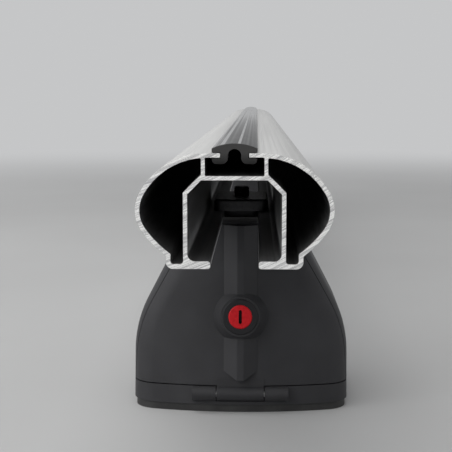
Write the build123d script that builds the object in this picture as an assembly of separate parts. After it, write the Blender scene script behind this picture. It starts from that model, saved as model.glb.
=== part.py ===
from build123d import *
from math import acos, atan2, cos, degrees, hypot, radians, sin, sqrt, tan
import os

# Roof rack crossbar: an extruded bar with a rubber slot strip, on two lockable feet.
# Millimetres. +Z is up, the bar runs along Y, and the floor under the feet is Z = 0.
# The outer face of the near foot looks towards -Y.

# Bar, outside
bar_length = 1250.0
bar_width = 72.0
bar_height = 42.0
widest_height = 21.2
top_flat = 20.0
shoulder_radius = 13.5
chine_radius = 13.0
flank_radius = 43.0
base_width = 49.8
step_height = 4.7
step_radius = 0.8
base_radius = 2.2

# Bar, walls and cavities
skin = 1.8
base_floor = 1.95
web = 1.7
cavity_radius = 0.5

# Bar, top T-slot
slot_mouth = 10.2
slot_width = 21.2
slot_depth = 6.5
lip = 1.7
slot_web = 1.5
lip_radius = 0.3

# Bar, underside channel
channel_width = 33.9
channel_bevel = 5.0
channel_mouth = 17.5
flange = 2.95
flange_radius = 0.9
channel_radius = 2.6

# Slot strip
strip_cap_width = 16.5
strip_cap_edge = 1.6
strip_crown = 1.8
strip_hook_width = 16.2
strip_hook = 2.2
strip_arch_width = 4.7
strip_arch_cap = 2.1
strip_fit = 0.08
strip_edge_radius = 0.6
strip_toe_radius = 2.1
strip_heel_radius = 1.5

# Feet on the bar
foot_spacing = 850.0
saddle_rubber = 2.0
base_rubber = 4.0

# Foot shell
foot_height = 92.0
foot_width = 111.0
foot_top_width = 55.0
foot_flare = 27.5
foot_flare_radius = 60.0
foot_front = 46.0
foot_back = 44.0
foot_lean = 8.5
foot_bulge = 9.0
foot_corner = 14.0
shell = 3.5
base_plate = 9.0
top_plate = 10.0
rib = 4.0
rib_spacing = 34.0
rib_setback = 14.0

# Fixing holes in the base
bolt_hole = 9.0
bolt_spacing = 64.0

# Saddle and key
pad_length = 54.0
pad_lip = 1.7
pad_lip_height = 4.0
pad_fit = 0.35
pad_corner = 6.0
pad_inset = 1.0
key_length = 40.0
key_fit = 0.3
key_rise = 2.3
key_corner = 3.0

# Bar clamp
screw_diameter = 8.0
screw_head_diameter = 13.0
screw_head = 8.0
screw_hex = 6.0
screw_hex_depth = 4.5
screw_hole = 9.0
screw_tail = 5.0
thread_fit = 0.05
washer_diameter = 18.0
washer = 1.8
plate_width = 28.0
plate_length = 50.0
plate = 6.0
plate_corner = 3.0
plate_chamfer = 1.0
screw_chamfer = 0.8

# Front cover
cover_edge = 3.7
cover_gap = 0.6
cover_top = 1.5
cover_roof = 3.0
ridge_base = 17.0
ridge_top = 3.5
ridge_height = 4.5
ridge_foot = 7.0

# Cover hinge
knuckle_diameter = 7.0
cover_knuckle = 24.0
body_knuckle = 12.0
knuckle_gap = 0.4
pin_diameter = 3.0
pin_fit = 0.05
pin_chamfer = 0.4

# Lock
lock_height = 48.5
boss_base = 27.0
boss_top = 20.0
boss_rise = 7.0
boss_back = 22.0
boss_back_depth = 8.0
sleeve_diameter = 16.0
sleeve_flange_diameter = 18.0
sleeve_flange = 1.0
sleeve_length = 18.0
sleeve_fit = 0.05
barrel_diameter = 12.0
barrel_fit = 0.05
barrel_proud = 0.4
barrel_edge = 0.6
keyway_width = 1.6
keyway_length = 7.0
keyway_depth = 4.0
nut_flats = 20.0
nut = 4.0
tang = 7.0
tang_fit = 0.05
cam = 3.0
cam_reach = 22.0
cam_width = 10.0
cam_round = 2.0
cam_gap = 0.5
cam_screw_diameter = 4.0
cam_screw_depth = 8.0
cam_screw_head_diameter = 9.0
cam_screw_head = 2.2
cam_screw_slot = 1.0
catch_width = 14.0
catch = 3.0
catch_gap = 0.6
catch_drop = 12.0

# Levels that the pieces share
foot_floor = base_rubber
foot_top = foot_floor + foot_height
bar_floor = foot_top + saddle_rubber
deck = foot_floor + base_plate
ceiling = foot_top - top_plate
hinge_height = deck - knuckle_diameter / 2
cover_ceiling = foot_top - cover_top
lean = tan(radians(foot_lean))
slot_floor = bar_height - lip - slot_depth
channel_roof = slot_floor - web
plate_seat = bar_floor + flange
touch = 0.001


def on_section(sketch):
    """Stand a sketch drawn in (X, Z) upright across the bar."""
    return Plane.XZ * sketch


def mirrored_face(edges):
    """Close a right-hand half outline with its mirror image."""
    return make_face(edges + [mirror(edge, Plane.YZ) for edge in edges])


def symmetric_polygon(points):
    """A face from the right-hand points of an outline, listed from the bottom up."""
    left = [(-x, z) for x, z in reversed(points)]
    return make_face(Polyline(*points, *left, close=True))


def corners_at(sketch, x, z):
    """The two mirrored corners of a sketch at (x, z) and (-x, z)."""
    def near(corner):
        return abs(abs(corner.X) - x) < touch and abs(corner.Y - z) < touch
    return sketch.vertices().filter_by(near)


def corners_on(sketch, walls):
    """The corners of a symmetric sketch that lie on its upright walls."""
    def on_wall(corner):
        return any(abs(abs(corner.X) - wall) < touch for wall in walls)
    return sketch.vertices().filter_by(on_wall)


def flank_centre():
    """Centre of the flank arc, which leaves the chine arc smoothly and ends on the step."""
    chine_x = bar_width / 2 - chine_radius
    step_x = base_width / 2
    from_chine = flank_radius - chine_radius
    reach = hypot(step_x - chine_x, step_height - widest_height)
    along = (from_chine ** 2 - flank_radius ** 2 + reach ** 2) / (2 * reach)
    across = sqrt(from_chine ** 2 - along ** 2)
    ux = (step_x - chine_x) / reach
    uz = (step_height - widest_height) / reach
    return chine_x + along * ux + across * uz, widest_height + along * uz - across * ux


def bar_outline(inset, floor):
    """The bar's outside form, drawn in by an even inset, down to a flat floor."""
    shoulder_x = bar_width / 2 - shoulder_radius
    crown_x = top_flat / 2
    rise = bar_height - widest_height
    spread = hypot(shoulder_x - crown_x, rise)
    crown_radius = (spread ** 2 - shoulder_radius ** 2) / 2 / (rise - shoulder_radius)
    crown_z = bar_height - crown_radius
    crown_end = degrees(atan2(widest_height - crown_z, shoulder_x - crown_x))
    chine_x = bar_width / 2 - chine_radius
    flank_x, flank_z = flank_centre()
    flank_start = degrees(atan2(widest_height - flank_z, chine_x - flank_x))
    side = base_width / 2 - inset
    flank_end = -degrees(acos((side - flank_x) / (flank_radius - inset)))
    crown = CenterArc((crown_x, crown_z), crown_radius - inset, 90, crown_end - 90)
    shoulder = CenterArc((shoulder_x, widest_height), shoulder_radius - inset, crown_end, -crown_end)
    chine = CenterArc((chine_x, widest_height), chine_radius - inset, 0, flank_start)
    flank = CenterArc((flank_x, flank_z), flank_radius - inset, flank_start, flank_end - flank_start)
    top = Line((0, bar_height - inset), crown @ 0)
    step = Line(flank @ 1, (side, floor))
    bottom = Line((side, floor), (0, floor))
    return mirrored_face([top, crown, shoulder, chine, flank, step, bottom])


def bar_cavities():
    """The two closed side cavities between the skin and the slot and channel walls."""
    diagonal = web * (sqrt(2) - 1)
    slot_x = slot_width / 2 + slot_web
    channel_x = channel_width / 2 + web
    knee = channel_roof - channel_bevel + diagonal
    core = symmetric_polygon([
        (channel_x, -1),
        (channel_x, knee),
        (slot_x, knee + channel_x - slot_x),
        (slot_x, bar_height + 1),
    ])
    cavities = bar_outline(skin, base_floor) - core
    return fillet(corners_on(cavities, [slot_x, channel_x, base_width / 2 - skin]), cavity_radius)


def channel_void():
    """The underside channel with its bevelled roof and rounded floor corners."""
    half = channel_width / 2
    room = symmetric_polygon([
        (half, flange),
        (half, channel_roof - channel_bevel),
        (half - channel_bevel, channel_roof),
    ])
    return fillet(corners_at(room, half, flange), channel_radius)


def bar_section():
    """The bar's cut face: skin, webs, T-slot, channel and flanges."""
    mouth = Pos(0, bar_height) * Rectangle(slot_mouth, 2 * lip)
    slot = Pos(0, slot_floor + slot_depth / 2) * Rectangle(slot_width, slot_depth)
    opening = Rectangle(channel_mouth, 2 * flange)
    section = bar_outline(0, 0) - bar_cavities() - slot - mouth - channel_void() - opening
    section = fillet(corners_at(section, base_width / 2, 0), base_radius)
    section = fillet(corners_at(section, base_width / 2, step_height), step_radius)
    section = fillet(corners_on(section, [channel_mouth / 2]), flange_radius)
    return fillet(corners_on(section, [slot_mouth / 2]), lip_radius)


def strip_section():
    """The rubber strip: a crowned cap on the lips and two hooked legs below them."""
    seat = bar_height + strip_fit
    edge = seat + strip_cap_edge
    half = strip_cap_width / 2
    cap = mirrored_face([
        Line((0, seat), (half, seat)),
        Line((half, seat), (half, edge)),
    ] + [ThreePointArc((half, edge), (half / 2, edge + strip_crown * 3 / 4), (0, edge + strip_crown))])
    cap = fillet(corners_at(cap, half, seat) + corners_at(cap, half, edge), strip_edge_radius)
    hook_top = bar_height - lip - strip_fit
    hook_floor = hook_top - strip_hook
    neck_width = slot_mouth - 2 * strip_fit
    neck = Pos(0, (hook_floor + seat) / 2) * Rectangle(neck_width, seat - hook_floor)
    hooks = Pos(0, hook_floor + strip_hook / 2) * Rectangle(strip_hook_width, strip_hook)
    hooks = fillet(hooks.vertices().group_by(Axis.Y)[0], strip_heel_radius)
    hooks = fillet(hooks.vertices().group_by(Axis.Y)[-1], strip_edge_radius)
    arch_radius = strip_arch_width / 2
    arch_top = edge + strip_crown - strip_arch_cap
    arch = Pos(0, arch_top - arch_radius) * Circle(arch_radius)
    arch += Pos(0, (hook_floor - 1 + arch_top - arch_radius) / 2) * Rectangle(
        strip_arch_width, arch_top - arch_radius - hook_floor + 1)
    section = cap + neck + hooks - arch
    return fillet(corners_at(section, arch_radius, hook_floor), strip_toe_radius)


def along_bar(section):
    """Run a cross-section over the whole bar length, at the bar's height."""
    return Pos(0, 0, bar_floor) * extrude(on_section(section), bar_length / 2, both=True)


def front_at(height):
    """How far the middle of the foot's outer face stands out at a height."""
    return foot_front - (height - foot_floor) * lean


def foot_silhouette(inset):
    """The foot seen from its outer face: upright flanks that lean in towards the saddle."""
    half = foot_width / 2 - inset
    flare = tan(radians(foot_flare))
    top_half = foot_top_width / 2 - inset / cos(radians(foot_flare))
    shoulder = foot_top - (half - top_half) / flare
    outline = symmetric_polygon([(half, foot_floor), (half, shoulder), (top_half, foot_top)])
    return fillet(corners_at(outline, half, shoulder), foot_flare_radius - inset)


def leaning_lens(inset):
    """The foot's bulged outer and inner faces, both leaning in towards the top."""
    half = foot_width / 2
    front = foot_front - inset
    back = foot_back - inset
    plan = make_face([
        ThreePointArc((-half, foot_bulge - front), (0, -front), (half, foot_bulge - front)),
        Line((half, foot_bulge - front), (half, 0)),
        Line((half, 0), (-half, 0)),
        Line((-half, 0), (-half, foot_bulge - front)),
    ])
    rear = make_face([
        ThreePointArc((-half, back - foot_bulge), (0, back), (half, back - foot_bulge)),
        Line((half, back - foot_bulge), (half, 0)),
        Line((half, 0), (-half, 0)),
        Line((-half, 0), (-half, back - foot_bulge)),
    ])
    slope = foot_height / cos(radians(foot_lean))
    front_half = extrude(Pos(0, 0, foot_floor) * plan, slope, dir=(0, lean, 1))
    back_half = extrude(Pos(0, 0, foot_floor) * rear, slope, dir=(0, -lean, 1))
    return front_half, back_half


def foot_form(inset):
    """The foot's outer form, drawn in by an even inset."""
    prism = extrude(on_section(foot_silhouette(inset)), foot_front + foot_back, both=True)
    front_half, back_half = leaning_lens(inset)
    behind = Pos(0, foot_back, foot_top / 2) * Box(2 * foot_width, 2 * foot_back, 2 * foot_top)
    ahead = Pos(0, -foot_front, foot_top / 2) * Box(2 * foot_width, 2 * foot_front, 2 * foot_top)
    form = (prism & front_half & ahead) + (prism & back_half & behind)
    upright = form.edges().filter_by(lambda edge: edge.bounding_box().size.Z > touch * 1000)
    return fillet(upright, foot_corner - inset)


def level_slab(low, high):
    """A slab between two heights, wider than the foot."""
    return Pos(0, 0, (low + high) / 2) * Box(2 * foot_width, 4 * foot_front, high - low)


def face_plane(height, depth=0):
    """A plane on the foot's outer face at a height, looking out, or a depth behind that face."""
    outward = (0, -cos(radians(foot_lean)), sin(radians(foot_lean)))
    plane = Plane((0, -front_at(height), height), x_dir=(1, 0, 0), z_dir=outward)
    return plane.offset(-depth)


def ahead_of(setback):
    """Everything further out than an upright plane across the foot."""
    reach = 2 * foot_front
    return Pos(0, -setback - reach / 2, foot_height) * Box(2 * foot_width, reach, 3 * foot_height)


def cover_parting():
    """Distance from the foot's middle to the upright plane where cover and body part."""
    return front_at(cover_ceiling) - cover_edge


def hinge_rod(radius, start, end):
    """A round bar on the hinge axis, from one X to another."""
    middle = Pos((start + end) / 2, -front_at(hinge_height), hinge_height)
    return middle * Rot(0, 90, 0) * Cylinder(radius, end - start)


def hinge_pair(radius, start, end):
    """The same round bar on the right and on the left of the hinge."""
    return hinge_rod(radius, start, end) + hinge_rod(radius, -end, -start)


def hinge_lug(fit):
    """The tab between the cover's lower edge and its knuckle, flush with its face, grown by a fit."""
    rise = deck + cover_gap + shell - hinge_height
    depth = knuckle_diameter / 2 + fit
    block = Pos(0, rise / 2, -depth / 2) * Box(cover_knuckle + 2 * fit, rise, depth)
    return face_plane(hinge_height) * block


def lock_rod(radius, back, front):
    """A round bar on the lock axis, between two depths measured out from the cover's face."""
    return Pos(0, 0, (back + front) / 2) * Cylinder(radius, front - back)


def on_lock(shape):
    """Stand a shape drawn along +Z on the lock axis."""
    return face_plane(lock_height) * shape


def upright_holes(diameter, spacing):
    """Two upright cutters through the whole foot, side by side across it."""
    hole = Cylinder(diameter / 2, 4 * foot_height)
    return Pos(spacing / 2, 0, 0) * hole + Pos(-spacing / 2, 0, 0) * hole


def key_form(fit):
    """The key that centres the foot in the bar's underside mouth, grown by a fit."""
    width = channel_mouth - 2 * key_fit + 2 * fit
    plan = RectangleRounded(width, key_length + 2 * fit, key_corner + fit)
    return Pos(0, 0, foot_top) * extrude(plan, saddle_rubber + key_rise)


def cover_catch():
    """The tab under the top plate that the lock's tongue turns behind."""
    rear = sleeve_length + cam_gap - catch_gap
    tab = Pos(0, catch_drop + foot_height / 2, catch / 2 - rear) * Box(catch_width, foot_height, catch)
    return on_lock(tab) & level_slab(deck, foot_top - cover_top)


def foot_ribs():
    """Two upright ribs from the back wall, between the base plate and the top plate."""
    depth = foot_back - rib_setback
    blank = Pos(0, rib_setback + depth / 2, (deck + ceiling) / 2) * Box(rib, depth, ceiling - deck)
    return Pos(rib_spacing / 2, 0, 0) * blank + Pos(-rib_spacing / 2, 0, 0) * blank


def foot_body(form, hollow):
    """The moulded leg: shell, base plate, top plate, ribs, catch, key and hinge knuckles."""
    door_space = ahead_of(cover_parting()) & level_slab(deck, 2 * foot_top)
    body = form - (hollow & level_slab(deck, ceiling)) - door_space
    body += foot_ribs() & form
    body += cover_catch()
    body += key_form(0)
    radius = knuckle_diameter / 2
    inner = cover_knuckle / 2 + knuckle_gap
    body -= hinge_rod(radius + knuckle_gap, -inner, inner) + hinge_lug(knuckle_gap)
    body += hinge_pair(radius, inner, inner + body_knuckle)
    body -= hinge_rod(pin_diameter / 2 + pin_fit, -foot_width, foot_width)
    body -= upright_holes(bolt_hole, bolt_spacing) & level_slab(0, deck)
    body -= Pos(0, 0, foot_top) * Cylinder(screw_hole / 2, 4 * top_plate)
    return body


def cover_ridge():
    """The upright ridge down the middle of the cover, with a sloping lower end."""
    root = ridge_base / 2
    plan = symmetric_polygon([(root, -shell / 2), (root, 0), (ridge_top / 2, ridge_height)])
    plan = fillet(corners_at(plan, ridge_top / 2, ridge_height), ridge_top / 3)
    start = hinge_height + ridge_foot
    across = Plane((0, -front_at(start), start), x_dir=(-1, 0, 0), z_dir=(0, lean, 1))
    ridge = extrude(across * plan, 2 * foot_height)
    toe = face_plane(start) * Pos(0, ridge_height, 0) * Rot(45, 0, 0)
    above = toe * Pos(0, foot_height, 0) * Box(2 * ridge_base, 2 * foot_height, 4 * foot_height)
    return ridge & above & level_slab(0, cover_ceiling)


def front_cover(form, hollow):
    """The moulded cover: bulged shell, ridge, lock boss and hinge knuckle."""
    zone = ahead_of(cover_parting() + cover_gap) & level_slab(deck + cover_gap, cover_ceiling)
    cover = (form - (hollow & level_slab(0, cover_ceiling - cover_roof))) & zone
    cover += cover_ridge()
    slope = (boss_base - boss_top) / 2 / boss_rise
    embed = shell / 2
    cone = Cone(boss_base / 2 + slope * embed, boss_top / 2, boss_rise + embed)
    cover += on_lock(Pos(0, 0, (boss_rise - embed) / 2) * cone)
    cover += on_lock(lock_rod(boss_back / 2, -boss_back_depth, 0))
    cover -= on_lock(lock_rod(sleeve_diameter / 2 + sleeve_fit, -2 * boss_back_depth, 2 * boss_rise))
    radius = knuckle_diameter / 2
    half = cover_knuckle / 2
    cover -= hinge_pair(radius + knuckle_gap, half, half + body_knuckle + 2 * knuckle_gap)
    cover += hinge_rod(radius, -half, half) + hinge_lug(0)
    return cover - hinge_rod(pin_diameter / 2 + pin_fit, -foot_width, foot_width)


def hinge_pin():
    """The plain pin through the cover's knuckle and the body's two knuckles."""
    half = cover_knuckle / 2 + knuckle_gap + body_knuckle
    pin = hinge_rod(pin_diameter / 2, -half, half)
    return chamfer(pin.edges().filter_by(GeomType.CIRCLE), pin_chamfer)


def saddle_pad():
    """The rubber between foot and bar, with lips that hug the sides of the bar's base."""
    inside = base_width + 2 * pad_fit
    plan = RectangleRounded(inside + 2 * pad_lip, pad_length, pad_corner)
    pad = Pos(0, 0, foot_top) * extrude(plan, saddle_rubber + pad_lip_height)
    pad -= Pos(0, 0, bar_floor + pad_lip_height) * Box(inside, 2 * pad_length, 2 * pad_lip_height)
    return pad - key_form(key_fit)


def base_pad():
    """The rubber under the foot, set in a little from its edge."""
    sole = foot_form(pad_inset).faces().sort_by(Axis.Z)[0]
    pad = Part() + extrude(sole, base_rubber, dir=(0, 0, -1))
    return pad - upright_holes(bolt_hole, bolt_spacing)


def channel_plate():
    """The clamp plate that sits on the bar's flanges, tapped for the screw."""
    blank = extrude(RectangleRounded(plate_width, plate_length, plate_corner), plate)
    blank = chamfer(blank.faces().sort_by(Axis.Z)[-1].edges(), plate_chamfer)
    blank -= Cylinder(screw_diameter / 2 + thread_fit, 4 * plate)
    return Pos(0, 0, plate_seat) * blank


def clamp_washer():
    """The washer between the screw head and the foot's top plate."""
    ring = Cylinder(washer_diameter / 2, washer) - Cylinder(screw_hole / 2, 2 * washer)
    return Pos(0, 0, ceiling - washer / 2) * ring


def clamp_screw():
    """The socket screw, head down, up through the foot into the channel plate."""
    seat = ceiling - washer
    tip = plate_seat + plate + screw_tail
    head = Cylinder(screw_head_diameter / 2, screw_head)
    head = chamfer(head.edges().group_by(Axis.Z)[0], screw_chamfer)
    socket = extrude(RegularPolygon(screw_hex / 2, 6, major_radius=False), screw_hex_depth)
    shank = Pos(0, 0, (seat + tip) / 2) * Cylinder(screw_diameter / 2, tip - seat)
    shank = chamfer(shank.edges().group_by(Axis.Z)[-1], screw_chamfer)
    screw = Pos(0, 0, seat - screw_head / 2) * head + shank
    return screw - Pos(0, 0, seat - screw_head) * socket


def lock_sleeve():
    """The dark tube that the lock barrel turns in, with a flange on the boss."""
    front = boss_rise + sleeve_flange
    sleeve = lock_rod(sleeve_diameter / 2, -sleeve_length, boss_rise)
    flange_ring = lock_rod(sleeve_flange_diameter / 2, boss_rise, front)
    sleeve += chamfer(flange_ring.edges().group_by(Axis.Z)[-1], sleeve_flange / 2)
    sleeve -= lock_rod(barrel_diameter / 2 + barrel_fit, -2 * sleeve_length, 2 * boss_rise)
    return on_lock(sleeve)


def lock_nut():
    """The hex nut on the sleeve, behind the cover's boss."""
    hexagon = extrude(RegularPolygon(nut_flats / 2, 6, major_radius=False), nut)
    hexagon -= Cylinder(sleeve_diameter / 2 + sleeve_fit, 4 * nut)
    return on_lock(Pos(0, 0, -boss_back_depth - nut) * hexagon)


def lock_barrel():
    """The lock barrel: keyway in front, square tang with a tapped hole behind."""
    front = boss_rise + sleeve_flange + barrel_proud
    shoulder = -sleeve_length - cam_gap
    barrel = lock_rod(barrel_diameter / 2, shoulder, front)
    barrel = fillet(barrel.edges().group_by(Axis.Z)[-1], barrel_edge)
    barrel += Pos(0, 0, shoulder - cam / 2) * Box(tang, tang, cam)
    keyway = extrude(SlotOverall(keyway_length, keyway_width, rotation=90), keyway_depth)
    barrel -= Pos(0, 0, front - keyway_depth) * keyway
    hole_front = shoulder + cam_screw_depth
    barrel -= lock_rod(cam_screw_diameter / 2 + thread_fit, shoulder - 2 * cam, hole_front)
    return on_lock(barrel)


def lock_cam():
    """The flat tongue on the barrel's tang, lying level while the lock is open."""
    width = cam_width + 2 * cam_round
    eye = Circle(width / 2)
    arm = Pos(-cam_reach / 2, 0) * RectangleRounded(cam_reach, cam_width, cam_round)
    tongue = extrude(eye + arm - Rectangle(tang + 2 * tang_fit, tang + 2 * tang_fit), cam)
    return on_lock(Pos(0, 0, -sleeve_length - cam_gap - cam) * tongue)


def cam_screw():
    """The slotted screw that holds the tongue on the tang."""
    seat = -sleeve_length - cam_gap - cam
    tip = seat + cam + cam_screw_depth - screw_chamfer
    screw = lock_rod(cam_screw_diameter / 2, seat, tip)
    screw += lock_rod(cam_screw_head_diameter / 2, seat - cam_screw_head, seat)
    groove = Box(2 * cam_screw_head_diameter, cam_screw_slot, cam_screw_head)
    return on_lock(screw - Pos(0, 0, seat - cam_screw_head) * groove)


def foot_pieces():
    """Every piece of one foot, by name, centred under the bar with its face towards -Y."""
    form = foot_form(0)
    hollow = foot_form(shell)
    return {
        "foot_body": foot_body(form, hollow),
        "saddle_pad": saddle_pad(),
        "base_pad": base_pad(),
        "hinge_pin": hinge_pin(),
        "clamp_washer": clamp_washer(),
        "clamp_screw": clamp_screw(),
        "channel_plate": channel_plate(),
        "front_cover": front_cover(form, hollow),
        "lock_sleeve": lock_sleeve(),
        "lock_nut": lock_nut(),
        "lock_barrel": lock_barrel(),
        "lock_cam": lock_cam(),
        "cam_screw": cam_screw(),
    }


os.makedirs("parts", exist_ok=True)
export_step(along_bar(bar_section()), "parts/crossbar.step")
export_step(along_bar(strip_section()), "parts/slot_strip.step")
for name, piece in foot_pieces().items():
    near = Pos(0, -foot_spacing / 2, 0) * piece
    export_step(near, f"parts/{name}_near.step")
    export_step(Rot(0, 0, 180) * near, f"parts/{name}_far.step")
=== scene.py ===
import math
import random

import bmesh
import bpy
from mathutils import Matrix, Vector
from mathutils.geometry import tessellate_polygon


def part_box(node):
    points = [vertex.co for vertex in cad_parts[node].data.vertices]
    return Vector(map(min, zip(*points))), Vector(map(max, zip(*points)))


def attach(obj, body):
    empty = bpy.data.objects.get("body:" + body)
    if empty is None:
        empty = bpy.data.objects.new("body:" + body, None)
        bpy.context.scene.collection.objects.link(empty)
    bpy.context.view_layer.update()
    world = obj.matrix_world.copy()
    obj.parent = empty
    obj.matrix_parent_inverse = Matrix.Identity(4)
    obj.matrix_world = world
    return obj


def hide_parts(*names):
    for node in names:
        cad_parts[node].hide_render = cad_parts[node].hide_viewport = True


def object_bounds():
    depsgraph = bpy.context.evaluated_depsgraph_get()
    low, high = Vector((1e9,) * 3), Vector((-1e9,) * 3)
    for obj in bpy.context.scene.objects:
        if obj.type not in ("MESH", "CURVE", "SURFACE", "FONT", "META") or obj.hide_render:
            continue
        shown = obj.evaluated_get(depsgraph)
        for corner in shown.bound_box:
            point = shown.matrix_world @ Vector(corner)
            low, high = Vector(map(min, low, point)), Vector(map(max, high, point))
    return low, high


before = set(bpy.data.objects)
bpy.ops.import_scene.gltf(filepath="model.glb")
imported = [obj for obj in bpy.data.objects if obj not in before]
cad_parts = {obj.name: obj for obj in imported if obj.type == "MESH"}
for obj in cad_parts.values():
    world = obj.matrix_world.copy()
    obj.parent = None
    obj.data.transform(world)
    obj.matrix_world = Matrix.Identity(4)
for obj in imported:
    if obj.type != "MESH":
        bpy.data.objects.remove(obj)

# Roof rack crossbar on two lockable feet, dressed for a studio picture.
# The sections of bar and strip and the sawn ends are measured in millimetres, other lengths in metres.

MM = 0.001
cad_low, cad_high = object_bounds()
bar_low, bar_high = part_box("crossbar")
strip_low, strip_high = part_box("slot_strip")
bar_floor = bar_low.z

# Bar section, outside
BAR_HALF = (bar_high.x - bar_low.x) / 2 / MM
BAR_HEIGHT = (bar_high.z - bar_low.z) / MM
WIDEST = 21.2
TOP_FLAT_HALF = 10.0
SHOULDER_R = 13.5
CHINE_R = 13.0
FLANK_R = 43.0
BASE_HALF = 24.9
STEP_HEIGHT = 4.7
STEP_R = 0.8
BASE_R = 2.6

# Bar section, walls, slot and channel
SKIN = 1.8
BASE_FLOOR = 1.95
WEB = 1.7
CAVITY_R = 0.5
CAVITY_STEP_R = 0.9
CAVITY_FLOOR_R = 1.1
SLOT_MOUTH_HALF = 5.1
SLOT_HALF = 10.6
SLOT_DEPTH = 6.5
LIP = 1.7
LIP_R = 0.3
SLOT_WEB = 1.5
CHANNEL_HALF = 16.95
BEVEL = 5.0
MOUTH_HALF = 8.75
FLANGE = 2.95
FLANGE_R = 0.9
CHANNEL_R = 2.6
INNER_R = 0.4
SLOT_FLOOR = BAR_HEIGHT - LIP - SLOT_DEPTH
CHANNEL_ROOF = SLOT_FLOOR - WEB

# Strip section
STRIP_HALF = (strip_high.x - strip_low.x) / 2 / MM
STRIP_CREST = (strip_high.z - bar_floor) / MM
STRIP_HOOK_FLOOR = (strip_low.z - bar_floor) / MM
STRIP_FIT = 0.08
STRIP_CROWN = 1.8
STRIP_HOOK_HALF = 8.1
STRIP_ARCH_R = 2.35
STRIP_ARCH_CAP = 2.1
STRIP_EDGE_R = 0.6
STRIP_TOE_R = 2.1
STRIP_HEEL_R = 1.5

# Longest step along an arc, and how far a curve's own points keep from the rounded corner at its end
CHORD = 0.35
SKIN_CLEAR = 2 * STEP_R
CAVITY_CLEAR = 2 * CAVITY_R
CROWN_CLEAR = 2 * STRIP_EDGE_R

# Sawn ends: how deep, how far and how unevenly the rims are worn, where the saw blade's axle stood, across
# from the bar's middle line and above its floor, and how far the blade's marks wander
RIM_DEPTH = 0.22
RIM_WORN = 0.06
RIM_ROUGH = 0.09
SAW_CENTRE = (-120.0, 270.0)
SAW_WANDER = 0.8

# Edges of the extrusions that turn by more degrees than this stay crisp
CRISP_ANGLE = 28

# Lock and clamp screw: depth of red on the lock's face, half the keyway's width, the paint's soft edge,
# the thread's pitch, and the height above the screw's head over which the thread sets in
RED_DEPTH = 0.003
KEYWAY_HALF = 0.0008
PAINT_EDGE = 0.0002
THREAD_PITCH = 0.00125
THREAD_RUN_IN = 0.002

# A noise has most of its values between these
NOISE_LOW = 0.3
NOISE_HIGH = 0.7

# Dark and light shade of each material that varies between two
SATIN = ((0.50, 0.50, 0.495), (0.60, 0.60, 0.595))
# Painted shade: the inner walls are darker than the outside, standing in for the shade inside the bar's
# hollows
HOLLOW_PAINTED_SHADE = ((0.20, 0.20, 0.205), (0.29, 0.29, 0.292))
ZINC = ((0.50, 0.51, 0.53), (0.66, 0.66, 0.65))
BLACK_STEEL = ((0.020, 0.020, 0.021), (0.040, 0.040, 0.041))
RED_PAINT = ((0.56, 0.012, 0.018), (0.70, 0.02, 0.028))
# Painted shade: near black inside the lock's keyway
KEYWAY_PAINTED_SHADE = ((0.010, 0.010, 0.010), (0.020, 0.020, 0.020))
CUT_RUBBER = ((0.006, 0.006, 0.006), (0.054, 0.053, 0.053))
FLOOR_PAINT = ((0.50, 0.504, 0.51), (0.535, 0.54, 0.546))

# Colours of the sawn aluminium by noise value, from the grooves of the saw's marks to bright streaks that
# are painted glints
SAWN_TONES_AND_GLINTS = (
    (0.42, (0.52, 0.52, 0.53)),
    (0.48, (0.71, 0.71, 0.71)),
    (0.52, (0.87, 0.87, 0.86)),
    (0.56, (1.0, 1.0, 0.99)),
)

# Colours of rubber and plastic, with how much paler they are under dust and in blotches
STRIP_BLACK = (0.030, 0.030, 0.031)
PAD_BLACK = (0.020, 0.020, 0.020)
FOOT_GREY = (0.036, 0.036, 0.039)
LOCK_BLACK = (0.016, 0.016, 0.018)
DUST_GAIN = 1.9
DUST_HAZE = 0.012
BLOTCH_GAIN = 1.35

# Surround and floor: their light, and where the floor fades into the surround
SURROUND = (0.56, 0.565, 0.572, 1)
AMBIENT = (0.96, 0.98, 1, 1)
AMBIENT_STRENGTH = 0.08
FLOOR_ROUGHNESS = 0.8
FLOOR_REACH = 60.0
FADE_START = 0.5
FADE_END = 2.4

# Lamps: their colours, and where the top one hangs, past the bar's middle and above the floor
NEUTRAL = (1, 1, 1)
WARM = (1, 0.985, 0.955)
COOL = (0.95, 0.975, 1)
TOP_LAMP_Y = 0.3
TOP_LAMP_HEIGHT = 3.0

# Photograph's view, in pixels: the picture's width, the focal length, where the bar's axis vanishes, and
# where the sawn end's middle lies and how wide it is there; then the camera's sensor and the range it sees
IMAGE_SIZE = 452
FOCAL_PIXELS = 1111.0
VANISHING_X = 256.0
VANISHING_Y = 95.0
END_CENTRE_X = 234.5
END_CENTRE_Y = 211.0
END_WIDTH_PIXELS = 200.5
SENSOR_MM = 36.0
NEAREST_SEEN = 0.01
FARTHEST_SEEN = 100


def arc(centre, radius, start, end):
    """Points along an arc, angles in degrees, both ends included."""
    steps = max(2, math.ceil(abs(math.radians(end - start)) * radius / CHORD))
    angles = [math.radians(start + (end - start) * i / steps) for i in range(steps + 1)]
    return [(centre[0] + radius * math.cos(a), centre[1] + radius * math.sin(a)) for a in angles]


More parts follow.
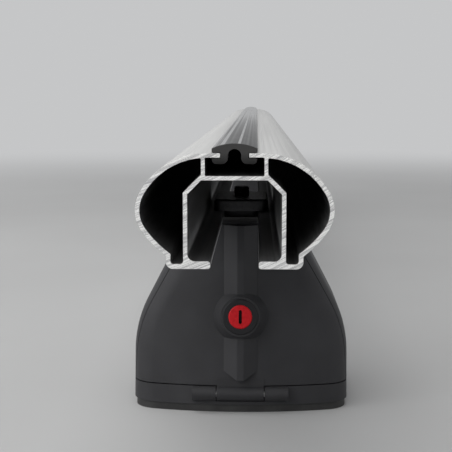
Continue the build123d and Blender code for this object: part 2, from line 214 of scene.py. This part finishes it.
def rounded(corners):
    """A path through (x, z, radius) corners, with each corner of a radius above 0 turned into an arc."""
    path = [corners[0][:2]]
    for before, corner, after in zip(corners, corners[1:], corners[2:]):
        place = Vector(corner[:2])
        radius = corner[2]
        if radius == 0:
            path.append(corner[:2])
            continue
        back = (Vector(before[:2]) - place).normalized()
        ahead = (Vector(after[:2]) - place).normalized()
        half_angle = back.angle(ahead) / 2
        tangent = radius / math.tan(half_angle)
        centre = place + (back + ahead).normalized() * (radius / math.sin(half_angle))
        first = place + back * tangent - centre
        turn = (math.pi - 2 * half_angle) * (1 if back.x * ahead.y - back.y * ahead.x < 0 else -1)
        start = math.degrees(math.atan2(first.y, first.x))
        path += arc(centre, radius, start, start + math.degrees(turn))
    path.append(corners[-1][:2])
    return path


def sharp(points):
    """Mark points as plain, unrounded corners of a path."""
    return [(x, z, 0) for x, z in points]


def clear_of(corner, gap, points):
    """The points that are farther from a corner than a gap."""
    return [p for p in points if math.dist(p, corner) > gap]


def mirrored(path):
    """Close a right-hand path that starts and ends on the middle line with its mirror image."""
    return path + [(-x, z) for x, z in reversed(path[1:-1])]


def skin_curve(inset):
    """The right-hand skin from the flank's foot up to the crown, drawn in by an inset."""
    shoulder_x = BAR_HALF - SHOULDER_R
    crown_x = TOP_FLAT_HALF
    rise = BAR_HEIGHT - WIDEST
    spread = math.hypot(shoulder_x - crown_x, rise)
    crown_r = (spread ** 2 - SHOULDER_R ** 2) / 2 / (rise - SHOULDER_R)
    crown_z = BAR_HEIGHT - crown_r
    crown_end = math.degrees(math.atan2(WIDEST - crown_z, shoulder_x - crown_x))
    chine_x = BAR_HALF - CHINE_R
    reach = math.hypot(BASE_HALF - chine_x, STEP_HEIGHT - WIDEST)
    centres = FLANK_R - CHINE_R
    along = (centres ** 2 - FLANK_R ** 2 + reach ** 2) / (2 * reach)
    across = math.sqrt(centres ** 2 - along ** 2)
    toward_x = (BASE_HALF - chine_x) / reach
    toward_z = (STEP_HEIGHT - WIDEST) / reach
    flank_x = chine_x + along * toward_x + across * toward_z
    flank_z = WIDEST + along * toward_z - across * toward_x
    flank_start = math.degrees(math.atan2(WIDEST - flank_z, chine_x - flank_x))
    flank_end = -math.degrees(math.acos((BASE_HALF - inset - flank_x) / (FLANK_R - inset)))
    curve = arc((flank_x, flank_z), FLANK_R - inset, flank_end, flank_start)
    curve += arc((chine_x, WIDEST), CHINE_R - inset, flank_start, 0)[1:]
    curve += arc((shoulder_x, WIDEST), SHOULDER_R - inset, 0, crown_end)[1:]
    return curve + arc((crown_x, crown_z), crown_r - inset, crown_end, 90)[1:]


def bar_outline():
    """The bar's outer loop, with the slot in its top and the channel in its underside."""
    skin = skin_curve(0)
    return mirrored(rounded([
        (0, CHANNEL_ROOF, 0),
        (CHANNEL_HALF - BEVEL, CHANNEL_ROOF, INNER_R),
        (CHANNEL_HALF, CHANNEL_ROOF - BEVEL, INNER_R),
        (CHANNEL_HALF, FLANGE, CHANNEL_R),
        (MOUTH_HALF, FLANGE, FLANGE_R),
        (MOUTH_HALF, 0, FLANGE_R),
        (BASE_HALF, 0, BASE_R),
        (*skin[0], STEP_R),
        *sharp(clear_of(skin[0], SKIN_CLEAR, skin)),
        (SLOT_MOUTH_HALF, BAR_HEIGHT, LIP_R),
        (SLOT_MOUTH_HALF, BAR_HEIGHT - LIP, LIP_R),
        (SLOT_HALF, BAR_HEIGHT - LIP, LIP_R),
        (SLOT_HALF, SLOT_FLOOR, LIP_R),
        (0, SLOT_FLOOR, 0),
    ]))


def bar_cavity():
    """The right-hand closed cavity of the bar, from the middle of its slanting wall and round to it."""
    slot_x = SLOT_HALF + SLOT_WEB
    wall_x = CHANNEL_HALF + WEB
    knee = CHANNEL_ROOF - BEVEL + WEB * (math.sqrt(2) - 1)
    slant_middle = ((slot_x + wall_x) / 2, knee + (wall_x - slot_x) / 2, 0)
    inside = skin_curve(SKIN)
    roof = [p for p in inside if p[0] > slot_x + CAVITY_CLEAR]
    tip = [p for p in inside if p[0] > slot_x][-1]
    return rounded([
        slant_middle,
        (wall_x, knee, CAVITY_R),
        (wall_x, BASE_FLOOR, CAVITY_FLOOR_R),
        (BASE_HALF - SKIN, BASE_FLOOR, CAVITY_FLOOR_R),
        (*inside[0], CAVITY_STEP_R),
        *sharp(clear_of(inside[0], CAVITY_CLEAR, roof)),
        (slot_x, tip[1], CAVITY_R),
        (slot_x, knee + wall_x - slot_x, CAVITY_R),
        slant_middle,
    ])[:-1]


def bar_loops():
    """The bar's outer loop and its two closed cavities."""
    cavity = bar_cavity()
    return [bar_outline(), cavity, [(-x, z) for x, z in reversed(cavity)]]


def strip_loops():
    """The rubber strip's one loop: crowned cap, neck, hooks and the arch between the legs."""
    seat = BAR_HEIGHT + STRIP_FIT
    hook_top = BAR_HEIGHT - LIP - STRIP_FIT
    neck = SLOT_MOUTH_HALF - STRIP_FIT
    edge = STRIP_CREST - STRIP_CROWN
    crown_r = (STRIP_HALF ** 2 + STRIP_CROWN ** 2) / (2 * STRIP_CROWN)
    edge_angle = math.degrees(math.asin(STRIP_HALF / crown_r))
    crown = arc((0, STRIP_CREST - crown_r), crown_r, 90 - edge_angle, 90)
    arch_top = STRIP_CREST - STRIP_ARCH_CAP
    arch = arc((0, arch_top - STRIP_ARCH_R), STRIP_ARCH_R, 90, 0)
    return [mirrored(rounded([
        *sharp(arch),
        (STRIP_ARCH_R, STRIP_HOOK_FLOOR, STRIP_TOE_R),
        (STRIP_HOOK_HALF, STRIP_HOOK_FLOOR, STRIP_HEEL_R),
        (STRIP_HOOK_HALF, hook_top, STRIP_EDGE_R),
        (neck, hook_top, 0),
        (neck, seat, 0),
        (STRIP_HALF, seat, STRIP_EDGE_R),
        (STRIP_HALF, edge, STRIP_EDGE_R),
        *sharp([p for p in crown if p[0] < STRIP_HALF - CROWN_CLEAR]),
    ]))]


def outside_of_bar(first, second):
    """Whether a stretch of the bar's outer loop, between two points, lies on its outside skin."""
    high = min(first[1], second[1])
    wide = min(abs(first[0]), abs(second[0]))
    under = max(first[1], second[1]) < FLANGE_R
    crown = high > BAR_HEIGHT - LIP_R or wide > SLOT_HALF + SLOT_WEB and high > CHANNEL_ROOF
    return under or crown or wide > CHANNEL_HALF + WEB


def outside_of_strip(first, second):
    """Every side of the strip has the same finish."""
    return True


def inward(loop, draw):
    """A loop drawn in by a length at each of its points."""
    area = sum(a[0] * b[1] - b[0] * a[1] for a, b in zip(loop, loop[1:] + loop[:1]))
    side = 1 if area > 0 else -1
    result = []
    for i, point in enumerate(loop):
        before = Vector(loop[i - 1])
        after = Vector(loop[(i + 1) % len(loop)])
        run = (after - before).normalized()
        result.append((point[0] - side * run.y * draw[i], point[1] + side * run.x * draw[i]))
    return result


def sawn_prism(name, loops, low_y, high_y, is_outside):
    """A prism along Y with slightly worn sawn rims.

    Faces use slot 0 on the outside, slot 1 on the sawn ends and slot 2 on inner walls.
    """
    bm = bmesh.new()
    rings = []
    for number, loop in enumerate(loops):
        chance = random.Random(number)
        columns = []
        for y, worn in ((low_y, True), (low_y + RIM_DEPTH * MM, False),
                        (high_y - RIM_DEPTH * MM, False), (high_y, True)):
            shrink = [RIM_WORN + RIM_ROUGH * chance.random() if worn else 0.0 for _ in loop]
            if number > 0:
                shrink = [-s for s in shrink]
            shape = inward(loop, shrink)
            columns.append([bm.verts.new((x * MM, y, bar_floor + z * MM)) for x, z in shape])
        rings.append(columns)
        for near, far in zip(columns, columns[1:]):
            for i in range(len(loop)):
                j = (i + 1) % len(loop)
                face = bm.faces.new((near[i], near[j], far[j], far[i]))
                face.smooth = True
                face.material_index = 0 if number == 0 and is_outside(loop[i], loop[j]) else 2
    for end in (0, -1):
        outlines = [[v.co for v in columns[end]] for columns in rings]
        flat = [v for columns in rings for v in columns[end]]
        for triangle in tessellate_polygon(outlines):
            face = bm.faces.new([flat[i] for i in triangle])
            face.material_index = 1
    bmesh.ops.recalc_face_normals(bm, faces=bm.faces)
    mesh = bpy.data.meshes.new(name)
    bm.to_mesh(mesh)
    bm.free()
    mesh.set_sharp_from_angle(angle=math.radians(CRISP_ANGLE))
    piece = bpy.data.objects.new(name, mesh)
    bpy.context.scene.collection.objects.link(piece)
    return piece


class Shader:
    """A material's node tree, with short ways to add and join nodes."""

    def __init__(self, name):
        self.material = bpy.data.materials.new(name)
        self.material.use_nodes = True
        self.nodes = self.material.node_tree.nodes
        self.links = self.material.node_tree.links
        self.surface = self.nodes["Principled BSDF"]
        self.place = self.add("ShaderNodeTexCoord").outputs["Object"]

    def add(self, kind, **settings):
        """A new node with its settings."""
        node = self.nodes.new(kind)
        for key, value in settings.items():
            setattr(node, key, value)
        return node

    def put(self, socket, value):
        """Join an output to a socket, or set the socket's own value."""
        if isinstance(value, bpy.types.NodeSocket):
            self.links.new(value, socket)
        else:
            socket.default_value = value

    def set(self, **values):
        """Set or join sockets of the main shader, with _ for a space in their names."""
        for key, value in values.items():
            self.put(self.surface.inputs[key.replace("_", " ")], value)

    def math(self, operation, *values):
        """A math node's result."""
        node = self.add("ShaderNodeMath", operation=operation)
        for socket, value in zip(node.inputs, values):
            self.put(socket, value)
        return node.outputs[0]

    def mixed(self, first, second, share):
        """Two values mixed, the second by a share from 0 to 1."""
        rest = self.math("MULTIPLY", first, 1 - share)
        return self.math("MULTIPLY_ADD", second, share, rest)

    def stretched(self, *scale):
        """The object's own coordinates, scaled to so many repeats a metre along X, Y and Z."""
        scaled = self.add("ShaderNodeVectorMath", operation="MULTIPLY")
        self.put(scaled.inputs[0], self.place)
        self.put(scaled.inputs[1], scale)
        return scaled.outputs[0]

    def part(self, axis):
        """One of the object's own coordinates."""
        split = self.add("ShaderNodeSeparateXYZ")
        self.put(split.inputs[0], self.place)
        return split.outputs[axis]

    def noise(self, vector, scale=1.0, detail=2.0, rough=0.5):
        """Smooth noise from 0 to 1, its scale in repeats a metre."""
        node = self.add("ShaderNodeTexNoise")
        self.put(node.inputs["Vector"], vector)
        self.put(node.inputs["Scale"], scale)
        self.put(node.inputs["Detail"], detail)
        self.put(node.inputs["Roughness"], rough)
        return node.outputs["Fac"]

    def spread(self, value, low, high, out_low, out_high, kind="LINEAR"):
        """Map a value from one range to another, held at the ends."""
        node = self.add("ShaderNodeMapRange", interpolation_type=kind)
        for socket, number in zip(node.inputs, (value, low, high, out_low, out_high)):
            self.put(socket, number)
        return node.outputs[0]

    def between(self, noise, low, high):
        """A noise spread between two numbers."""
        return self.spread(noise, NOISE_LOW, NOISE_HIGH, low, high)

    def ramp(self, value, *stops):
        """Colours by value, as (position, colour) stops."""
        node = self.add("ShaderNodeValToRGB")
        elements = node.color_ramp.elements
        while len(elements) < len(stops):
            elements.new(0.5)
        for element, (position, colour) in zip(elements, stops):
            element.position = position
            element.color = (*colour, 1)
        self.put(node.inputs[0], value)
        return node.outputs[0]

    def shaded(self, noise, shades):
        """Colours between a dark and a light shade by a noise."""
        dark, light = shades
        return self.ramp(noise, (NOISE_LOW, dark), (NOISE_HIGH, light))

    def blend(self, share, first, second):
        """The second colour over the first, by a share from 0 to 1."""
        node = self.add("ShaderNodeMix", data_type="RGBA")
        self.put(node.inputs["Factor"], share)
        self.put(node.inputs[6], first)
        self.put(node.inputs[7], second)
        return node.outputs[2]

    def bump(self, height, strength, distance):
        """Bump of a height, where 1 stands for a distance in metres, joined to the main shader."""
        node = self.add("ShaderNodeBump")
        self.put(node.inputs["Strength"], strength)
        self.put(node.inputs["Distance"], distance)
        self.put(node.inputs["Height"], height)
        self.set(Normal=node.outputs[0])


def extruded_finish():
    """Satin natural-anodised aluminium with die lines along the bar."""
    s = Shader("bar_satin")
    lines = s.noise(s.stretched(2600, 3, 2600), detail=3)
    broad = s.noise(s.stretched(160, 2, 160))
    tone = s.mixed(lines, broad, share=0.4)
    s.set(Base_Color=s.shaded(tone, SATIN), Metallic=1.0, Roughness=s.between(tone, 0.50, 0.62))
    s.bump(lines, strength=0.12, distance=0.00005)
    return s.material


def inner_finish():
    """Dull inside of the extrusion, darker than the outside as painted shade in the hollows, with streaks
    along the bar.
    """
    s = Shader("bar_inner")
    lines = s.noise(s.stretched(1500, 4, 1500), detail=3)
    s.set(Base_Color=s.shaded(lines, HOLLOW_PAINTED_SHADE), Metallic=0.9, Roughness=s.between(lines, 0.34, 0.48))
    s.bump(lines, strength=0.10, distance=0.00005)
    return s.material


def sawn_finish():
    """Raw sawn aluminium: arcs left by the saw blade, some of them painted bright as glints, with finer
    ones between.
    """
    s = Shader("sawn_aluminium")
    reach = s.add("ShaderNodeVectorMath", operation="DISTANCE")
    s.put(reach.inputs[0], s.stretched(1, 0, 1))
    s.put(reach.inputs[1], (SAW_CENTRE[0] * MM, 0, bar_floor + SAW_CENTRE[1] * MM))
    wander = s.noise(s.place, scale=140)
    stroke = s.math("MULTIPLY_ADD", wander, SAW_WANDER * MM, reach.outputs["Value"])
    coarse = s.noise(stroke, scale=480, detail=1)
    middle = s.noise(stroke, scale=1300, detail=1)
    grain = s.noise(s.place, scale=2600)
    lines = s.mixed(s.mixed(coarse, middle, share=0.4), grain, share=0.2)
    # The lightest colours of the ramp are painted glints along the saw's marks
    s.set(Base_Color=s.ramp(lines, *SAWN_TONES_AND_GLINTS), Metallic=0.55)
    s.set(Roughness=s.spread(lines, low=0.35, high=0.65, out_low=0.60, out_high=0.42))
    s.bump(lines, strength=0.5, distance=0.0004)
    return s.material


def rubber(name, colour, smooth, rough, pores):
    """Black rubber with faint dusty patches, between two roughnesses, and fine pores of a strength."""
    s = Shader(name)
    dust = s.noise(s.stretched(90, 25, 90), detail=4, rough=0.6)
    dusty = [c * DUST_GAIN + DUST_HAZE for c in colour]
    s.set(Base_Color=s.ramp(dust, (0.4, colour), (0.75, dusty)), Roughness=s.between(dust, smooth, rough))
    s.bump(s.noise(s.place, scale=3200), strength=pores, distance=0.0001)
    return s.material


def cut_rubber():
    """The strip's cut ends: matt, torn grain, darker down in the slot."""
    s = Shader("strip_cut")
    torn = s.noise(s.stretched(300, 300, 900), detail=3)
    height_share = 0.8
    torn_share = 0.3
    height = s.spread(s.part("Z"), strip_low.z, bar_high.z, 0.0, height_share)
    tone = s.math("MULTIPLY_ADD", torn, torn_share, height)
    dark, light = CUT_RUBBER
    s.set(Base_Color=s.ramp(tone, (0.2, dark), (0.95, light)))
    s.set(Roughness=s.between(torn, 0.60, 0.75), Specular_IOR_Level=0.3)
    s.bump(s.noise(s.place, scale=2400, detail=3), strength=0.35, distance=0.0001)
    return s.material


def moulded_plastic(name, colour):
    """Dark moulded plastic with faint blotches and a fine leather-like grain."""
    s = Shader(name)
    blotch = s.noise(s.place, scale=38, detail=4)
    pale = [c * BLOTCH_GAIN for c in colour]
    s.set(Base_Color=s.ramp(blotch, (0.35, colour), (0.7, pale)))
    s.set(Roughness=s.between(blotch, 0.46, 0.58), Specular_IOR_Level=0.2)
    s.bump(s.noise(s.place, scale=1500, detail=3, rough=0.6), strength=0.22, distance=0.00015)
    return s.material


def spangled(name, shades, smooth, rough):
    """A shader for plated steel, between two shades and two roughnesses, and the noise of its spangle."""
    s = Shader(name)
    spangle = s.noise(s.place, scale=420, detail=3)
    s.set(Base_Color=s.shaded(spangle, shades), Metallic=1.0, Roughness=s.between(spangle, smooth, rough))
    return s, spangle


def plated_steel(name, shades):
    """Plated steel with a faint spangle."""
    s, spangle = spangled(name, shades, smooth=0.26, rough=0.42)
    s.bump(spangle, strength=0.08, distance=0.0001)
    return s.material


def screw_finish():
    """Black-oxide steel with the ridges of the thread on the shank above the head."""
    s, _ = spangled("black_screw", BLACK_STEEL, smooth=0.28, rough=0.44)
    height = s.part("Z")
    wave = s.math("SINE", s.math("MULTIPLY", height, math.tau / THREAD_PITCH))
    head_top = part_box("clamp_washer_near")[0].z
    shank = s.spread(height, head_top, head_top + THREAD_RUN_IN, 0.0, 1.0)
    s.bump(s.math("MULTIPLY", wave, shank), strength=0.8, distance=0.0004)
    return s.material


def lock_finish():
    """Red lock face on a barrel of plated metal, with painted shade in the keyway behind the face."""
    s = Shader("lock_red")
    speck = s.noise(s.place, scale=700, detail=3)
    outward = s.math("ABSOLUTE", s.part("Y"))
    aside = s.math("ABSOLUTE", s.part("X"))
    paint_end = max(abs(v.y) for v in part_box("lock_barrel_near")) - RED_DEPTH
    bare = s.spread(outward, paint_end, paint_end + PAINT_EDGE, 1.0, 0.0)
    keyway = s.spread(aside, KEYWAY_HALF, KEYWAY_HALF + PAINT_EDGE, 1.0, 0.0)
    # Inside the keyway the barrel is painted shade instead of plated metal
    barrel = s.blend(keyway, s.shaded(speck, ZINC), s.shaded(speck, KEYWAY_PAINTED_SHADE))
    s.set(Base_Color=s.blend(bare, s.shaded(speck, RED_PAINT), barrel))
    s.set(Metallic=s.math("MULTIPLY", bare, s.math("SUBTRACT", 1.0, keyway)))
    s.set(Roughness=s.between(speck, 0.30, 0.42), Specular_IOR_Level=0.15)
    s.bump(speck, strength=0.05, distance=0.0001)
    return s.material


def floor_finish():
    """Pale floor paint that fades into the surround, as the camera and reflections see it."""
    s = Shader("floor_paint")
    cloud = s.noise(s.place, scale=3, detail=3)
    s.set(Base_Color=s.shaded(cloud, FLOOR_PAINT), Roughness=FLOOR_ROUGHNESS)
    away = s.add("ShaderNodeVectorMath", operation="LENGTH")
    s.put(away.inputs[0], s.place)
    fade = s.spread(away.outputs["Value"], FADE_START, FADE_END, 0.0, 1.0, "SMOOTHERSTEP")
    path = s.add("ShaderNodeLightPath")
    seen = s.math("MAXIMUM", path.outputs["Is Camera Ray"], path.outputs["Is Glossy Ray"])
    seen = s.math("MAXIMUM", seen, path.outputs["Is Transmission Ray"])
    glow = s.add("ShaderNodeEmission")
    s.put(glow.inputs["Color"], SURROUND)
    mix = s.add("ShaderNodeMixShader")
    s.put(mix.inputs[0], s.math("MULTIPLY", fade, seen))
    s.put(mix.inputs[1], s.surface.outputs[0])
    s.put(mix.inputs[2], glow.outputs[0])
    s.put(s.nodes["Material Output"].inputs["Surface"], mix.outputs[0])
    return s.material


def pale_floor():
    """A wide pale floor that takes the object's shadow."""
    mesh = bpy.data.meshes.new("floor")
    corners = [(x * FLOOR_REACH, y * FLOOR_REACH, 0) for x, y in ((-1, -1), (1, -1), (1, 1), (-1, 1))]
    mesh.from_pydata(corners, [], [(0, 1, 2, 3)])
    mesh.materials.append(floor_finish())
    floor = bpy.data.objects.new("floor", mesh)
    floor.location.z = cad_low.z
    bpy.context.scene.collection.objects.link(floor)


def surround():
    """A pale surround for the camera and for reflections, and a weaker ambient light."""
    world = bpy.data.worlds.new("studio")
    bpy.context.scene.world = world
    world.use_nodes = True
    nodes = world.node_tree.nodes
    links = world.node_tree.links
    ambient = nodes["Background"]
    ambient.inputs["Color"].default_value = AMBIENT
    ambient.inputs["Strength"].default_value = AMBIENT_STRENGTH
    seen = nodes.new("ShaderNodeBackground")
    seen.inputs["Color"].default_value = SURROUND
    path = nodes.new("ShaderNodeLightPath")
    kinds = path.outputs["Is Camera Ray"]
    for kind in ("Is Glossy Ray", "Is Transmission Ray"):
        either = nodes.new("ShaderNodeMath")
        either.operation = "MAXIMUM"
        links.new(kinds, either.inputs[0])
        links.new(path.outputs[kind], either.inputs[1])
        kinds = either.outputs[0]
    mix = nodes.new("ShaderNodeMixShader")
    links.new(kinds, mix.inputs[0])
    links.new(ambient.outputs[0], mix.inputs[1])
    links.new(seen.outputs[0], mix.inputs[2])
    links.new(mix.outputs[0], nodes["World Output"].inputs["Surface"])


def softbox(name, target, offset, size, power, colour=NEUTRAL):
    """A square area lamp that stands off from a point and faces it, unseen by the camera itself."""
    data = bpy.data.lights.new(name, "AREA")
    data.size = size
    data.energy = power
    data.color = colour
    lamp = bpy.data.objects.new(name, data)
    lamp.location = target + Vector(offset)
    lamp.rotation_euler = (-Vector(offset)).to_track_quat("-Z", "Y").to_euler()
    lamp.visible_camera = False
    bpy.context.scene.collection.objects.link(lamp)


def studio():
    """Soft light: a key and a fill at the near end, a lamp on each side of the near foot, top and back."""
    surround()
    near_end = Vector((0, bar_low.y, bar_floor))
    far_end = Vector((0, bar_high.y, bar_floor))
    under_top = Vector((0, TOP_LAMP_Y, bar_floor))
    near_foot = Vector((0, sum(v.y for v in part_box("foot_body_near")) / 2, bar_floor / 2))
    softbox("key", near_end, (-0.9, -1.0, 1.9), size=3.6, power=57, colour=WARM)
    softbox("fill", near_end, (-0.9, -0.8, 0.6), size=1.2, power=2.6, colour=COOL)
    softbox("left", near_foot, (-1.3, -0.2, 0.6), size=1.3, power=3.6)
    softbox("right", near_foot, (1.3, -0.2, 0.6), size=1.3, power=2.0)
    softbox("top", under_top, (-0.2, 0, TOP_LAMP_HEIGHT - bar_floor), size=3.0, power=26)
    softbox("back", far_end, (-1.0, 0.9, 0.9), size=1.5, power=3)


def photo_camera():
    """The photograph's view, from where the bar's axis vanishes and how large its end is."""
    data = bpy.data.cameras.new("photo_view")
    data.sensor_width = SENSOR_MM
    data.lens = FOCAL_PIXELS / IMAGE_SIZE * SENSOR_MM
    data.clip_start = NEAREST_SEEN
    data.clip_end = FARTHEST_SEEN
    camera = bpy.data.objects.new("photo_view", data)
    middle = IMAGE_SIZE / 2
    yaw = math.atan2(VANISHING_X - middle, FOCAL_PIXELS)
    pitch = math.atan2(middle - VANISHING_Y, math.hypot(VANISHING_X - middle, FOCAL_PIXELS))
    camera.rotation_euler = (math.pi / 2 - pitch, 0, yaw)
    turn = camera.rotation_euler.to_matrix()
    depth = FOCAL_PIXELS * 2 * BAR_HALF * MM / END_WIDTH_PIXELS
    aside = (END_CENTRE_X - middle) / FOCAL_PIXELS * depth
    above = (middle - END_CENTRE_Y) / FOCAL_PIXELS * depth
    end_centre = Vector((0, bar_low.y, bar_floor + WIDEST * MM))
    camera.location = end_centre - turn @ Vector((aside, above, -depth))
    bpy.context.scene.collection.objects.link(camera)
    bpy.context.scene.camera = camera


strip_rubber = rubber("strip_rubber", STRIP_BLACK, smooth=0.10, rough=0.16, pores=0.04)
pad_rubber = rubber("pad_rubber", PAD_BLACK, smooth=0.50, rough=0.66, pores=0.25)
foot_plastic = moulded_plastic("foot_plastic", FOOT_GREY)
lock_plastic = moulded_plastic("lock_black", LOCK_BLACK)
zinc_steel = plated_steel("zinc_steel", ZINC)
black_steel = plated_steel("black_steel", BLACK_STEEL)

bar = sawn_prism("bar_extrusion", bar_loops(), bar_low.y, bar_high.y, outside_of_bar)
for finish in (extruded_finish(), sawn_finish(), inner_finish()):
    bar.data.materials.append(finish)
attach(bar, "bar")
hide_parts("crossbar")

strip = sawn_prism("rubber_strip", strip_loops(), strip_low.y, strip_high.y, outside_of_strip)
for finish in (strip_rubber, cut_rubber(), strip_rubber):
    strip.data.materials.append(finish)
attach(strip, "bar")
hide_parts("slot_strip")

# Finish of each piece of a foot, by its name without the side
NODE_FINISH = {
    "foot_body": foot_plastic,
    "front_cover": foot_plastic,
    "saddle_pad": pad_rubber,
    "base_pad": pad_rubber,
    "hinge_pin": zinc_steel,
    "clamp_washer": zinc_steel,
    "clamp_screw": screw_finish(),
    "channel_plate": black_steel,
    "lock_sleeve": lock_plastic,
    "lock_nut": zinc_steel,
    "lock_barrel": lock_finish(),
    "lock_cam": zinc_steel,
    "cam_screw": zinc_steel,
}
for name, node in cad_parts.items():
    kind = name.rsplit("_", 1)[0]
    if kind in NODE_FINISH:
        node.data.materials.clear()
        node.data.materials.append(NODE_FINISH[kind])

pale_floor()
studio()
photo_camera()
bpy.context.scene.view_settings.view_transform = "Standard"
